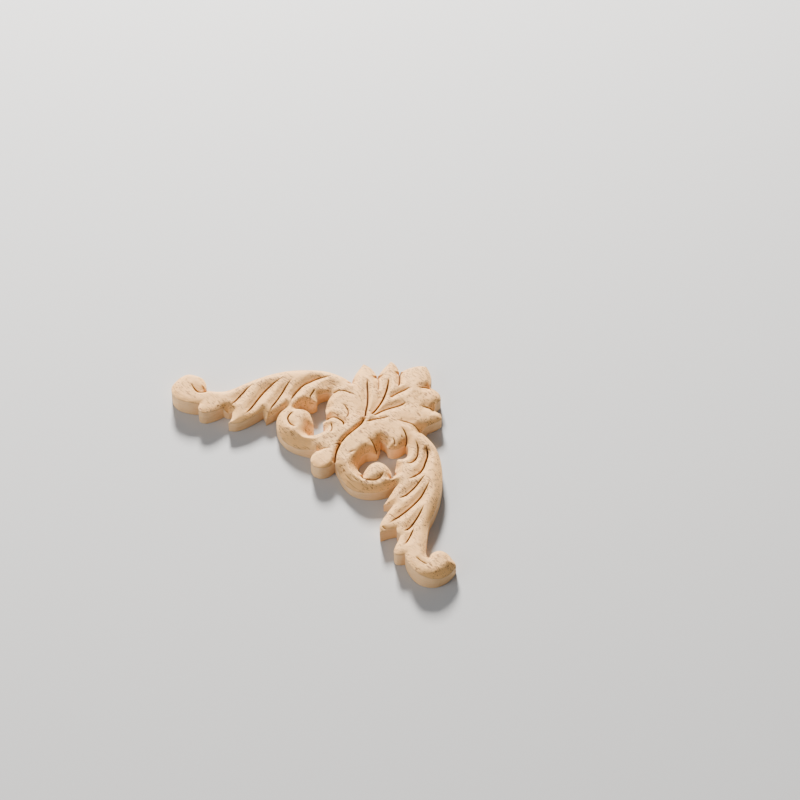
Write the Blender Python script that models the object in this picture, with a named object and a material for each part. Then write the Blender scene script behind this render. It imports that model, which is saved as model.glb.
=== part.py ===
"""Wooden corner onlay: one flat-backed piece of carved wood, 0.1 m along each leg of its corner.

The frame has +Z up out of the carved face. The flat glue face lies on z = 0, the mirror line of the
ornament is the Y axis with the palmette towards +Y, and the two arms run out to -X and +X. The origin
is the heart of the ornament, where the two scrolls part above the bud, on the glue face.

The outline is drawn stretch by stretch, the wood stands up from it with a rounded shoulder, and the
carving is cut into that crown with gouge strokes. Plan sizes are in millimetres until the mesh is made.
"""
import math
from typing import NamedTuple

import bpy
import numpy as np
from mathutils import Vector
from mathutils.geometry import delaunay_2d_cdt
from mathutils.kdtree import KDTree

MM = 0.001

# Driving sizes, in millimetres
OUTLINE_STEP = 1.25
STROKE_STEP = 1.3
GRID_STEP = 1.55
CLEARANCE = 0.62
SIDE_CLEARANCE = 0.42
GRID_CLEARANCE = 0.85
RIM_INSET = 1.15
VEE = 0.75
VEE_NARROW = 0.35
STROKE_POWER = 4.0
PLACE_REACH = 4.0
LOWEST = 1.6

# Outline stretches, as points that each smooth curve passes through, with x counted outwards from the
# mirror line. The two halves were finished by hand and differ a little.
BUD = ((0.0, -13.3), (2.4, -12.4), (4.0, -10.0), (4.3, -6.8))
RING_LEFT = (
    (4.3, -6.8), (7.2, -8.1), (11.0, -9.8), (15.5, -10.8), (20.4, -10.0), (24.5, -7.5), (27.0, -3.6),
    (27.3, 1.2),
)
RING_RIGHT = (
    (4.3, -6.8), (7.2, -8.1), (11.0, -9.8), (15.4, -10.5), (19.8, -9.3), (23.5, -6.5), (26.0, -3.1),
    (27.3, 1.2),
)
LEAVES_LEFT = (
    ((27.3, 1.2), (28.2, -1.7), (28.8, -4.8), (29.5, -7.8)),
    ((29.5, -7.8), (30.9, -6.9), (32.5, -6.2)),
    ((32.5, -6.2), (33.2, -10.0), (34.3, -14.1), (35.9, -17.3), (38.0, -18.9)),
    ((38.0, -18.9), (38.8, -16.3), (40.8, -13.8)),
    ((40.8, -13.8), (42.2, -15.0), (43.9, -15.5)),
    ((43.9, -15.5), (44.4, -17.4), (45.4, -20.1), (46.9, -22.3), (48.8, -23.0), (50.3, -22.1),
     (51.2, -20.4)),
)
LEAVES_RIGHT = (
    ((27.3, 1.2), (28.2, -1.7), (28.8, -4.8), (29.4, -7.9)),
    ((29.4, -7.9), (30.9, -6.9), (32.5, -6.2)),
    ((32.5, -6.2), (33.4, -9.9), (34.6, -13.9), (36.0, -17.2), (37.8, -18.9)),
    ((37.8, -18.9), (39.2, -15.9), (40.8, -13.5)),
    ((40.8, -13.5), (42.4, -14.7), (44.1, -15.0)),
    ((44.1, -15.0), (45.1, -17.2), (46.1, -19.9), (47.2, -21.9), (48.8, -22.5), (50.3, -21.6),
     (51.2, -20.4)),
)
ARM_LEFT = (
    ((51.2, -20.4), (53.4, -22.3), (56.0, -23.6), (59.0, -24.4), (62.4, -23.6), (65.2, -21.1),
     (66.4, -17.8), (66.7, -14.9), (65.6, -12.0), (63.4, -10.6), (60.3, -9.9), (56.7, -11.4),
     (54.0, -13.9)),
    ((54.0, -13.9), (52.7, -13.2), (50.4, -11.1), (48.4, -7.4), (47.1, -3.2), (46.0, 0.2), (44.7, 3.7),
     (42.9, 7.5), (40.7, 11.4), (37.8, 15.2), (34.3, 18.7), (30.1, 22.1), (25.9, 24.3), (21.5, 25.5),
     (17.6, 25.7)),
)
ARM_RIGHT = (
    ((51.2, -20.4), (53.0, -21.7), (55.8, -22.9), (59.1, -23.6), (62.4, -23.1), (65.8, -20.8),
     (67.6, -16.8), (67.6, -13.2), (66.8, -10.5), (64.1, -9.5), (60.7, -8.9), (58.4, -9.9), (57.5, -13.1),
     (58.2, -15.4)),
    ((58.2, -15.4), (57.2, -15.4), (55.4, -14.0), (52.0, -9.6), (49.5, -6.3), (47.4, -2.9), (46.3, 0.2),
     (44.8, 3.7), (42.9, 7.5), (40.5, 11.2), (37.5, 15.0), (34.0, 18.5), (29.8, 21.8), (25.6, 24.0),
     (21.2, 25.1), (17.0, 25.4)),
)
PALMETTE_LEFT = (
    ((17.6, 25.7), (19.2, 29.5), (20.6, 35.5)),
    ((20.6, 35.5), (17.5, 35.8), (15.0, 35.3), (12.4, 34.3)),
    ((12.4, 34.3), (13.3, 38.5), (13.7, 43.2)),
    ((13.7, 43.2), (11.5, 43.1), (9.5, 42.4), (7.6, 41.3)),
    ((7.6, 41.3), (6.9, 43.7), (5.6, 46.5), (4.0, 48.7), (2.1, 50.0)),
)
PALMETTE_RIGHT = (
    ((17.0, 25.4), (17.5, 29.7), (18.6, 33.5), (18.7, 35.4), (17.1, 36.8)),
    ((17.1, 36.8), (15.3, 36.5), (13.7, 36.6)),
    ((13.7, 36.6), (12.8, 39.6), (12.4, 42.0), (11.0, 43.3)),
    ((11.0, 43.3), (9.4, 43.8), (7.7, 43.8), (5.6, 43.4)),
    ((5.6, 43.4), (4.8, 45.2), (2.9, 47.3), (0.5, 48.9), (-2.1, 50.0)),
)
HOLLOW_LEFT = (
    ((18.7, 16.6), (17.9, 13.6), (16.5, 10.8), (15.3, 9.2), (13.9, 8.1), (13.0, 7.6)),
    ((13.0, 7.6), (12.9, 6.2), (12.4, 4.8), (11.3, 3.7), (10.0, 3.3), (9.2, 2.3), (9.8, 0.6), (11.2, -1.5),
     (12.5, -2.7)),
    ((12.5, -2.7), (12.7, -0.2), (14.2, 1.7), (16.6, 3.2), (18.8, 4.3), (21.0, 4.7), (23.0, 3.6),
     (24.3, 2.6)),
    ((24.3, 2.6), (24.4, 5.2), (22.6, 6.4), (20.7, 8.0)),
    ((20.7, 8.0), (20.4, 10.0), (21.8, 11.5), (22.1, 13.2), (21.3, 15.3), (20.0, 16.7), (18.7, 16.6)),
)
HOLLOW_RIGHT = (
    ((17.3, 17.2), (16.9, 14.2), (15.7, 12.2), (13.9, 11.5), (11.8, 12.5), (9.3, 12.5)),
    ((9.3, 12.5), (10.9, 10.1), (11.9, 7.8)),
    ((11.9, 7.8), (10.8, 6.3), (9.5, 4.6), (9.2, 2.5), (10.2, -0.8), (11.9, -2.6), (14.8, -3.2)),
    ((14.8, -3.2), (14.1, -0.4), (14.0, 1.9), (15.3, 4.3), (17.9, 5.2), (20.7, 4.9), (22.7, 3.8),
     (23.6, 2.8)),
    ((23.6, 2.8), (24.0, 5.0), (22.3, 6.0), (20.9, 7.8)),
    ((20.9, 7.8), (19.9, 10.0), (21.2, 11.7), (21.5, 13.0), (20.4, 15.2), (19.0, 16.7), (17.3, 17.2)),
)
RING = {"left": RING_LEFT, "right": RING_RIGHT}
LEAVES = {"left": LEAVES_LEFT, "right": LEAVES_RIGHT}
ARM = {"left": ARM_LEFT, "right": ARM_RIGHT}
PALMETTE = {"left": PALMETTE_LEFT, "right": PALMETTE_RIGHT}
HOLLOW = {"left": HOLLOW_LEFT, "right": HOLLOW_RIGHT}

# Height at the edge, height of the crown and width of the shoulder between them, named at places:
# x, y, edge height, crown height, shoulder width, with x counted outwards, for both halves
PLACES = (
    (0.0, 46.0, 5.2, 6.4, 3.0), (0.0, 36.0, 5.4, 7.8, 4.0), (0.0, 22.0, 5.4, 7.9, 4.2),
    (11.0, 39.0, 4.9, 6.3, 3.0), (17.5, 33.0, 4.7, 6.0, 3.0), (9.0, 29.0, 5.4, 7.5, 4.0),
    (14.0, 22.0, 4.8, 7.9, 4.4), (5.0, 10.0, 5.0, 8.0, 4.0), (13.0, -7.5, 3.4, 7.9, 6.4),
    (24.0, -4.0, 3.7, 7.6, 6.0), (18.8, 0.0, 5.2, 7.9, 3.6), (0.0, -5.0, 5.6, 7.2, 2.6),
    (0.0, -11.0, 6.7, 7.0, 1.8), (12.0, 13.5, 5.4, 7.2, 3.0), (23.0, 10.0, 5.2, 7.0, 3.0),
    (36.0, 12.0, 4.8, 7.5, 4.4), (46.0, -4.0, 4.7, 7.2, 4.0), (30.0, 0.0, 5.0, 6.9, 3.0),
    (30.0, -5.0, 5.2, 5.8, 2.4), (36.5, -6.0, 5.0, 6.8, 3.2), (43.5, -9.0, 5.2, 6.6, 3.0),
    (53.0, -16.0, 6.4, 7.3, 3.0), (56.0, -22.5, 6.9, 7.4, 2.4), (62.0, -22.0, 6.8, 7.5, 2.8),
    (60.0, -16.0, 5.8, 7.5, 3.4), (68.0, -13.5, 3.6, 7.2, 4.0), (61.0, -9.5, 4.0, 7.0, 3.6),
    (66.5, -18.0, 3.9, 7.2, 4.2), (65.0, -11.5, 3.6, 7.0, 4.0),
)
# The same for the left half alone
LEFT_PLACES = (
    (47.5, -20.0, 6.3, 6.8, 2.2), (37.0, -16.5, 4.5, 5.5, 3.0),
)
# The same for the right half alone
RIGHT_PLACES = (
    (47.5, -20.0, 5.9, 6.6, 2.4), (37.0, -16.5, 6.2, 6.7, 2.2),
)
# Places where the wood falls away: x, y, how far down, how far round, for both halves
DROOPS = (
    (29.4, -7.0, 1.2, 3.0), (0.0, -14.4, 0.5, 2.6), (12.4, 6.4, 1.3, 1.8),
)
# The same for the left half alone
LEFT_DROOPS = (
    (21.8, 7.0, 2.8, 2.2), (42.2, -14.4, 2.0, 1.6), (14.6, -0.6, 1.6, 2.4), (15.4, 10.6, 1.0, 2.0),
)
# The same for the right half alone
RIGHT_DROOPS = (
    (22.0, 7.2, 1.6, 2.0), (11.2, 10.6, 2.1, 1.9), (38.2, -18.0, 0.5, 2.0),
)


class Stroke(NamedTuple):
    """One cut of the gouge.

    It has its path, its depth, the reach of its soft sweep, the shares of its length over which it
    fades in and out, how far the sweep leans to the left of the path, and the sharp cut's share.
    """
    path: tuple
    depth: float
    sweep: float
    fade_in: float = 0.3
    fade_out: float = 0.3
    lean: float = 0.0
    vee_share: float = 0.5


# Cuts on the mirror line
AXIS_STROKES = {
    "axis": Stroke(
        ((-1.6, 15.8), (-0.5, 13.0), (-0.3, 9.6), (-0.4, 6.2), (-0.4, 3.8), (-0.1, 1.4), (0.5, -0.6),
         (1.2, -2.2), (2.2, -3.9), (3.4, -5.5), (4.3, -6.8)),
        2.2, 0.9, 0.05, 0.02, vee_share=0.55),
    "centre_vein": Stroke(
        ((2.6, 38.6), (1.2, 37.0), (0.7, 35.4), (0.0, 33.5), (-0.5, 31.6), (-0.9, 29.6), (-1.1, 28.4)),
        1.7, 1.5, 0.5, 0.1),
}
# Cuts of the left half, with x counted outwards
LEFT_STROKES = {
    "vein_a": Stroke(
        ((42.6, -13.2), (42.6, -10.9), (42.9, -8.4), (43.2, -5.5), (43.4, -3.1), (43.2, -1.0), (42.4, 1.2)),
        1.6, 1.8, 0.25, 0.5),
    "vein_b": Stroke(
        ((35.7, -12.8), (35.9, -10.8), (36.4, -8.0), (37.1, -4.7), (37.7, -1.5), (38.0, 1.6), (37.7, 5.4),
         (36.8, 9.2), (35.6, 11.8)),
        2.2, 2.0, 0.2, 0.5),
    "vein_c": Stroke(
        ((29.9, -5.6), (31.0, -2.7), (31.6, 0.3), (32.5, 4.1), (33.3, 7.5), (33.8, 10.2), (33.8, 13.0)),
        1.8, 1.9, 0.25, 0.5),
    "vein_d": Stroke(
        ((26.6, 1.8), (27.6, 3.8), (28.4, 5.6), (28.9, 8.2), (29.2, 10.8), (29.0, 12.9), (28.4, 14.8),
         (27.9, 16.6), (26.8, 18.8), (24.9, 21.0), (22.6, 22.6)),
        2.2, 1.9, 0.25, 0.35),
    "vein_e": Stroke(
        ((22.0, 7.6), (22.8, 8.8), (23.8, 10.3), (24.2, 12.0), (24.3, 13.6), (23.8, 15.4)),
        1.3, 1.5, 0.5, 0.6),
    "scoop": Stroke(
        ((24.2, 13.4), (23.6, 16.2), (21.9, 18.6), (19.4, 20.2), (16.6, 20.9), (13.6, 21.0)),
        0.9, 2.0, 0.3, 0.5, vee_share=0.05),
    "slot": Stroke(
        ((18.8, 16.8), (17.6, 18.4), (15.6, 19.6), (13.4, 20.3), (11.4, 20.6), (9.6, 20.3)),
        0.8, 1.5, 0.1, 0.5),
    "eye": Stroke(
        ((16.2, -4.6), (17.3, -4.8), (18.6, -4.9), (20.0, -4.8), (21.4, -4.2), (22.5, -3.3), (23.0, -2.0),
         (22.9, -0.4), (22.2, 0.9)),
        1.7, 1.5, 0.3, 0.3),
    "curl_1": Stroke(
        ((12.6, 14.8), (11.0, 14.8), (9.2, 14.3), (7.5, 13.2), (6.5, 11.8), (6.2, 10.2)),
        0.9, 1.1, 0.4, 0.2),
    "curl_line": Stroke(
        ((13.0, 7.6), (11.8, 7.7), (10.4, 8.3), (8.8, 8.7), (7.2, 8.8), (5.6, 8.6), (4.8, 7.6), (4.7, 6.6)),
        1.9, 1.5, 0.02, 0.2),
    "curl_2": Stroke(
        ((9.5, 5.7), (8.2, 4.9), (6.9, 3.8), (6.2, 2.4), (6.6, 1.4)),
        1.2, 1.0, 0.35, 0.25),
    "ring_top": Stroke(
        ((17.9, 25.7), (15.4, 25.4), (12.8, 24.6), (10.4, 23.4), (8.2, 22.0)),
        0.8, 2.2, 0.02, 0.6, vee_share=0.2),
    "vein_1": Stroke(
        ((14.2, 31.0), (12.2, 28.6), (10.2, 26.5), (8.0, 24.3), (5.9, 21.9), (4.5, 20.1), (3.3, 18.2),
         (2.1, 16.6), (1.4, 15.2)),
        2.4, 1.9, 0.3, 0.03, 0.35),
    "vein_2": Stroke(
        ((8.8, 37.0), (7.0, 34.6), (5.1, 31.7), (3.5, 28.8), (2.3, 26.0), (1.4, 23.0), (0.9, 20.2),
         (0.9, 17.6)),
        2.5, 1.9, 0.3, 0.06, 0.4),
    "notch_23": Stroke(
        ((7.6, 41.3), (6.2, 39.8), (4.5, 37.9), (3.1, 36.1), (2.2, 34.2)),
        2.4, 1.3, 0.02, 0.25),
    "valley_12": Stroke(
        ((12.4, 34.4), (9.8, 32.2), (7.3, 29.4), (5.2, 26.2)),
        1.6, 1.8, 0.02, 0.45, vee_share=0.3),
    "bud_side": Stroke(
        ((-0.4, -2.4), (1.4, -3.6), (3.0, -5.2), (4.3, -6.9)),
        0.8, 1.5, 0.8, 0.02, vee_share=0.35),
    "tip_cleft": Stroke(
        ((54.1, -13.8), (54.4, -15.4), (55.5, -16.6), (57.3, -16.7), (59.2, -16.3), (61.0, -16.2)),
        2.0, 1.7, 0.02, 0.6, 0.4),
}
# Cuts of the right half, with x counted outwards
RIGHT_STROKES = {
    "vein_a": Stroke(
        ((48.2, -18.2), (48.1, -16.6), (47.6, -14.6), (46.7, -12.1), (45.8, -9.9), (45.2, -8.2)),
        1.4, 1.5, 0.3, 0.4),
    "vein_ab": Stroke(
        ((43.8, -13.4), (44.2, -11.2), (44.2, -9.2), (43.6, -6.4), (42.9, -3.4), (42.1, -0.8), (41.0, 1.6)),
        1.9, 1.9, 0.15, 0.5),
    "vein_b": Stroke(
        ((37.7, -15.6), (37.9, -11.4), (38.2, -7.0), (38.3, -3.4), (38.2, 0.2), (37.9, 3.1), (37.2, 6.2),
         (36.2, 9.2), (34.9, 11.8)),
        2.3, 2.0, 0.3, 0.4),
    "vein_c": Stroke(
        ((32.4, -4.0), (32.9, -2.6), (33.4, 0.4), (33.5, 3.6), (33.3, 7.0), (33.0, 9.8), (32.4, 12.6)),
        1.8, 1.9, 0.25, 0.5),
    "vein_d": Stroke(
        ((28.8, 4.2), (29.7, 6.0), (30.1, 7.6), (30.3, 9.6), (30.2, 11.6), (29.6, 13.6), (28.7, 15.3),
         (27.9, 17.0), (26.7, 18.9), (25.0, 20.3), (23.2, 21.4)),
        2.6, 1.8, 0.35, 0.2),
    "vein_e": Stroke(
        ((23.6, 9.4), (24.6, 10.8), (25.1, 12.2), (25.1, 13.8), (24.6, 15.6), (23.4, 17.3), (22.1, 18.6),
         (20.6, 19.5), (18.8, 20.1)),
        1.8, 1.6, 0.3, 0.35),
    "slot": Stroke(
        ((17.4, 17.1), (16.8, 18.5), (15.6, 19.5), (14.2, 20.3), (12.4, 20.9), (10.6, 21.0)),
        1.8, 1.5, 0.02, 0.6),
    "eye": Stroke(
        ((14.7, -3.3), (15.8, -4.5), (17.2, -5.1), (18.7, -4.8), (20.2, -3.8), (21.2, -2.4), (21.5, -0.7),
         (21.2, 0.8), (20.6, 2.0)),
        1.7, 1.5, 0.05, 0.3),
    "eye_notch": Stroke(
        ((23.7, 2.8), (23.9, 1.8), (24.2, 0.6)),
        1.2, 1.0, 0.02, 0.5),
    "curl_1": Stroke(
        ((12.2, 15.5), (13.1, 15.2), (14.0, 14.8), (14.8, 14.1), (15.2, 13.0)),
        0.7, 0.8, 0.4, 0.3),
    "curl_line": Stroke(
        ((11.8, 7.8), (10.4, 8.4), (8.9, 9.0), (7.4, 9.2), (5.8, 8.8)),
        1.6, 1.6, 0.02, 0.5),
    "ring_top": Stroke(
        ((18.0, 25.6), (15.8, 25.5), (13.4, 25.1), (11.2, 24.3), (9.0, 23.0), (6.6, 21.6)),
        1.3, 2.0, 0.02, 0.5, vee_share=0.4),
    "vein_4": Stroke(
        ((5.4, 31.6), (4.1, 28.8), (3.3, 26.9), (2.5, 25.3), (1.6, 23.2), (0.8, 20.8), (0.1, 17.8)),
        2.0, 1.9, 0.2, 0.1),
    "vein_5": Stroke(
        ((5.8, 22.1), (4.2, 20.3), (2.4, 17.8), (1.2, 15.6), (0.4, 14.0)),
        1.1, 1.6, 0.35, 0.15),
    "edge_34": Stroke(
        ((5.6, 43.4), (4.2, 41.4), (2.4, 39.0)),
        1.3, 1.9, 0.02, 0.5, vee_share=0.3),
    "edge_45": Stroke(
        ((13.8, 37.1), (11.6, 35.5), (8.6, 33.4)),
        1.4, 2.0, 0.02, 0.5, vee_share=0.3),
    "tip_line": Stroke(
        ((54.6, -19.1), (56.0, -19.1), (57.6, -19.1), (59.2, -19.0), (61.0, -18.6)),
        0.6, 0.9, 0.3, 0.3),
}
SIDES = {"left": -1.0, "right": 1.0}
WOOD_COLOUR = (0.80, 0.61, 0.44, 1.0)
WOOD_ROUGHNESS = 0.62


def smooth_curve(points, step):
    """Points about a step apart on a centripetal Catmull-Rom curve through the given points."""
    p = np.asarray(points, float)
    ends = np.vstack([2 * p[0] - p[1], p, 2 * p[-1] - p[-2]])
    runs = []
    for a, b, c, d in zip(ends[:-3], ends[1:-2], ends[2:-1], ends[3:]):
        k1 = math.sqrt(np.linalg.norm(b - a))
        k2 = k1 + math.sqrt(np.linalg.norm(c - b))
        k3 = k2 + math.sqrt(np.linalg.norm(d - c))
        count = max(1, round(np.linalg.norm(c - b) / step))
        k = np.linspace(k1, k2, count, endpoint=False)[:, None]
        ab = a + (b - a) * k / k1
        bc = b + (c - b) * (k - k1) / (k2 - k1)
        cd = c + (d - c) * (k - k2) / (k3 - k2)
        abc = ab + (bc - ab) * k / k2
        bcd = bc + (cd - bc) * (k - k1) / (k3 - k1)
        runs.append(abc + (bcd - abc) * (k - k1) / (k2 - k1))
    return np.vstack(runs + [p[-1:]])


def half_outline(side, step):
    """One half of the outer outline, from the bud's tip out round the arm to the palmette's tip."""
    stretches = (BUD, RING[side]) + LEAVES[side] + ARM[side] + PALMETTE[side]
    return np.vstack([smooth_curve(s, step)[:-1] for s in stretches] + [np.array([PALMETTE[side][-1][-1]])])


def turned(loop, anticlockwise):
    """The loop in the asked direction, seen from above."""
    x, y = loop.T
    area = np.sum(x * np.roll(y, -1) - y * np.roll(x, -1))
    return loop if (area > 0) == anticlockwise else loop[::-1]


def outlines(step):
    """The outer outline, anticlockwise, and the two hollows, clockwise, with no point repeated."""
    left = half_outline("left", step) * (SIDES["left"], 1.0)
    right = half_outline("right", step) * (SIDES["right"], 1.0)
    loops = [turned(np.vstack([left[:-1], right[:0:-1]]), True)]
    for side, sign in SIDES.items():
        hollow = np.vstack([smooth_curve(s, step)[:-1] for s in HOLLOW[side]]) * (sign, 1.0)
        loops.append(turned(hollow, False))
    return loops


def distance_to_path(points, path):
    """Distance from each point to a polyline, how far along it the nearest place is, and on which side.

    The way along runs from 0 to 1, and the side is 1 to the left of the path and -1 to the right.
    """
    best = np.full(len(points), np.inf)
    along = np.zeros(len(points))
    side = np.ones(len(points))
    lengths = np.linalg.norm(np.diff(path, axis=0), axis=1)
    starts = np.concatenate([[0.0], np.cumsum(lengths)])
    for a, b, start, length in zip(path[:-1], path[1:], starts, lengths):
        edge = b - a
        off = points - a
        t = np.clip(off @ edge / length ** 2, 0.0, 1.0)
        r = np.linalg.norm(off - t[:, None] * edge, axis=1)
        nearer = r < best
        best[nearer] = r[nearer]
        along[nearer] = (start + t[nearer] * length) / starts[-1]
        side[nearer] = np.sign(edge[0] * off[nearer, 1] - edge[1] * off[nearer, 0])
    return best, along, side


def inside(points, loop):
    """Which points lie inside a closed loop, by counting the edges that a ray towards +X crosses."""
    count = np.zeros(len(points), int)
    x, y = points.T
    for a, b in zip(loop, np.roll(loop, -1, axis=0)):
        crosses = (a[1] > y) != (b[1] > y)
        span = b[1] - a[1] if b[1] != a[1] else 1.0
        count += crosses & (x < a[0] + (y - a[1]) * (b[0] - a[0]) / span)
    return count % 2 == 1


def ease(t):
    """A smooth step from 0 to 1."""
    t = np.clip(t, 0.0, 1.0)
    return t * t * (3.0 - 2.0 * t)


def all_strokes():
    """Every gouge stroke in place: the stroke, its path in the part's own plan and the sign of its half."""
    placed = [(s, smooth_curve(s.path, STROKE_STEP), 1.0) for s in AXIS_STROKES.values()]
    for side, own in (("left", LEFT_STROKES), ("right", RIGHT_STROKES)):
        sign = SIDES[side]
        placed += [(s, smooth_curve(s.path, STROKE_STEP) * (sign, 1.0), sign) for s in own.values()]
    return placed


def stroke_fade(stroke, along):
    """Share of a stroke's full depth at each place along it, from 0 to 1."""
    return ease(along / stroke.fade_in) * ease((1.0 - along) / stroke.fade_out)


def vee_width(fade):
    """Half width of the sharp cut, which narrows as the gouge lifts."""
    return VEE * (VEE_NARROW + (1.0 - VEE_NARROW) * fade)


def stroke_depth(points, stroke, path, sign):
    """How deep one stroke cuts at each point: a sharp vee in a softer sweep, fading out at its ends."""
    r, along, side = distance_to_path(points, path)
    fade = stroke_fade(stroke, along)
    vee = np.clip(1.0 - r / vee_width(fade), 0.0, 1.0)
    sweep = np.exp(-(r / (stroke.sweep * (1.0 + stroke.lean * side * sign))) ** 2)
    return stroke.depth * fade * (stroke.vee_share * vee + (1.0 - stroke.vee_share) * sweep)


def beside(path, offsets):
    """Points square to a path on both sides of it, at the given distances."""
    along = np.gradient(path, axis=0)
    square = np.column_stack([-along[:, 1], along[:, 0]]) / np.linalg.norm(along, axis=1)[:, None]
    return np.vstack([path + square * offsets[:, None], path - square * offsets[:, None]])


def both_halves(shared, left, right):
    """Rows of a table in the part's own plan: the shared ones in both halves, the others in their own."""
    rows = np.array(shared + right)
    mirrored = np.array(shared + left)
    mirrored[:, 0] *= -1.0
    return np.vstack([rows, mirrored[mirrored[:, 0] < 0.0]])


def crown(points, loops):
    """Height of the wood before the gouge: an edge height, a rounded shoulder and a crown height."""
    near_edge = np.min([distance_to_path(points, np.vstack([l, l[:1]]))[0] for l in loops], axis=0)
    places = both_halves(PLACES, LEFT_PLACES, RIGHT_PLACES)
    gap = (points[:, :1] - places[:, 0]) ** 2 + (points[:, 1:] - places[:, 1]) ** 2
    weight = np.exp(-gap / (2.0 * PLACE_REACH ** 2)) + 1e-9
    edge, top, width = ((weight @ places[:, i]) / weight.sum(axis=1) for i in (2, 3, 4))
    shoulder = 1.0 - (1.0 - np.clip(near_edge / width, 0.0, 1.0)) ** 2
    height = edge + (top - edge) * shoulder
    for x, y, down, around in both_halves(DROOPS, LEFT_DROOPS, RIGHT_DROOPS):
        height -= down * np.exp(-((points[:, 0] - x) ** 2 + (points[:, 1] - y) ** 2) / around ** 2)
    return height


def carved_height(points, loops):
    """Height of the finished face above the glue face, in millimetres, at each plan point."""
    cuts = np.array([stroke_depth(points, stroke, path, sign) for stroke, path, sign in all_strokes()])
    cut = (cuts ** STROKE_POWER).sum(axis=0) ** (1.0 / STROKE_POWER)
    return np.maximum(crown(points, loops) - cut, LOWEST)


def wood_material():
    """Bare pale hardwood."""
    material = bpy.data.materials.new("bare_wood")
    material.use_nodes = True
    shader = material.node_tree.nodes["Principled BSDF"]
    shader.inputs["Base Color"].default_value = WOOD_COLOUR
    shader.inputs["Roughness"].default_value = WOOD_ROUGHNESS
    shader.inputs["Metallic"].default_value = 0.0
    return material


def in_wood(points, loops):
    """Which points are inside the outer loop and in neither hollow."""
    return inside(points, loops[0]) & ~inside(points, loops[1]) & ~inside(points, loops[2])


def clear_of(points, lines, gap):
    """Which points keep a gap to every line."""
    clear = np.ones(len(points), bool)
    for line in lines:
        clear &= distance_to_path(points, line)[0] > gap
    return clear


def scattered_points(loops, lines):
    """A staggered grid over the plan, kept clear of the outline and of the stroke lines."""
    low, high = loops[0].min(axis=0), loops[0].max(axis=0)
    rows = np.arange(low[1], high[1], GRID_STEP * math.sqrt(0.75))
    columns = np.arange(low[0], high[0], GRID_STEP)
    x, y = np.meshgrid(columns, rows)
    x = x + (np.arange(len(rows)) % 2)[:, None] * GRID_STEP / 2
    grid = np.column_stack([x.ravel(), y.ravel()])
    grid = grid[in_wood(grid, loops)]
    return grid[clear_of(grid, lines, CLEARANCE)]


def apart(points, others, gap):
    """The points that keep a gap to the other points and to those kept before them."""
    tree = KDTree(len(others) + len(points))
    kept = []
    for i, p in enumerate(others):
        tree.insert((*p, 0.0), i)
    tree.balance()
    free = [p for p in points if tree.find((*p, 0.0))[2] > gap]
    for p in free:
        if all(math.dist(p, q) > gap for q in kept[-8:]):
            kept.append(p)
    return np.array(kept).reshape(-1, 2)


def triangulate(points, edges):
    """Triangles of a Delaunay mesh that keeps the given edges, with the points it ends up with."""
    found = delaunay_2d_cdt([Vector(p) for p in points], edges, [], 0, 1e-5)
    return np.array([tuple(v) for v in found[0]]), np.array(found[2])


def loop_edges(loops):
    """Vertex pairs along closed loops that are stored one after another."""
    edges = []
    start = 0
    for loop in loops:
        count = len(loop)
        edges += [(start + i, start + (i + 1) % count) for i in range(count)]
        start += count
    return edges


def facing_up(plan, triangles, loops):
    """The triangles whose middle is in the wood, turned to run anticlockwise seen from above."""
    kept = triangles[in_wood(plan[triangles].mean(axis=1), loops)]
    a, b, c = plan[kept[:, 0]], plan[kept[:, 1]], plan[kept[:, 2]]
    turn = (b - a)[:, 0] * (c - a)[:, 1] - (b - a)[:, 1] * (c - a)[:, 0]
    kept[turn < 0] = kept[turn < 0][:, ::-1]
    return kept


def carved_solid():
    """Vertices and faces of the closed solid: carved face, flat back and the upright walls between."""
    loops = outlines(OUTLINE_STEP)
    rim = np.vstack(loops)
    points, edges = rim, loop_edges(loops)
    lines = [np.vstack([l, l[:1]]) for l in loops]
    sides = []
    for stroke, path, _ in all_strokes():
        kept = path[clear_of(path, lines, CLEARANCE) & in_wood(path, loops)]
        points = np.vstack([points, kept])
        lines.append(path)
        fade = stroke_fade(stroke, distance_to_path(path, path)[1])
        sides.append(beside(path, vee_width(fade)))
    for extra in sides + [beside(line, np.full(len(line), RIM_INSET)) for line in lines[:3]]:
        extra = extra[in_wood(extra, loops)]
        extra = extra[clear_of(extra, lines, SIDE_CLEARANCE)]
        points = np.vstack([points, apart(extra, points, SIDE_CLEARANCE)])
    grid = scattered_points(loops, lines)
    points = np.vstack([points, apart(grid, points, GRID_CLEARANCE)])
    plan, found = triangulate(points, edges)
    top = facing_up(plan, found, loops)
    flat, found = triangulate(rim, loop_edges(loops))
    back = facing_up(flat, found, loops)[:, ::-1]
    heights = carved_height(plan, loops)
    vertices = np.vstack([np.column_stack([plan, heights]), np.column_stack([rim, np.zeros(len(rim))])])
    base = len(plan)
    walls = []
    for a, b in loop_edges(loops):
        walls += [(base + a, base + b, b), (base + a, b, a)]
    return vertices * MM, [tuple(t) for t in top], [tuple(t + base) for t in back], walls


def build_onlay():
    """The onlay as one object."""
    vertices, top, back, walls = carved_solid()
    mesh = bpy.data.meshes.new("corner_onlay")
    mesh.from_pydata(vertices.tolist(), [], top + back + walls)
    mesh.validate()
    used = bpy.data.objects.new("corner_onlay", mesh)
    bpy.context.scene.collection.objects.link(used)
    mesh.materials.append(wood_material())
    return used


def main():
    """Builds the onlay in an empty scene."""
    for old in list(bpy.data.objects):
        bpy.data.objects.remove(old, do_unlink=True)
    build_onlay()


main()
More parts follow.
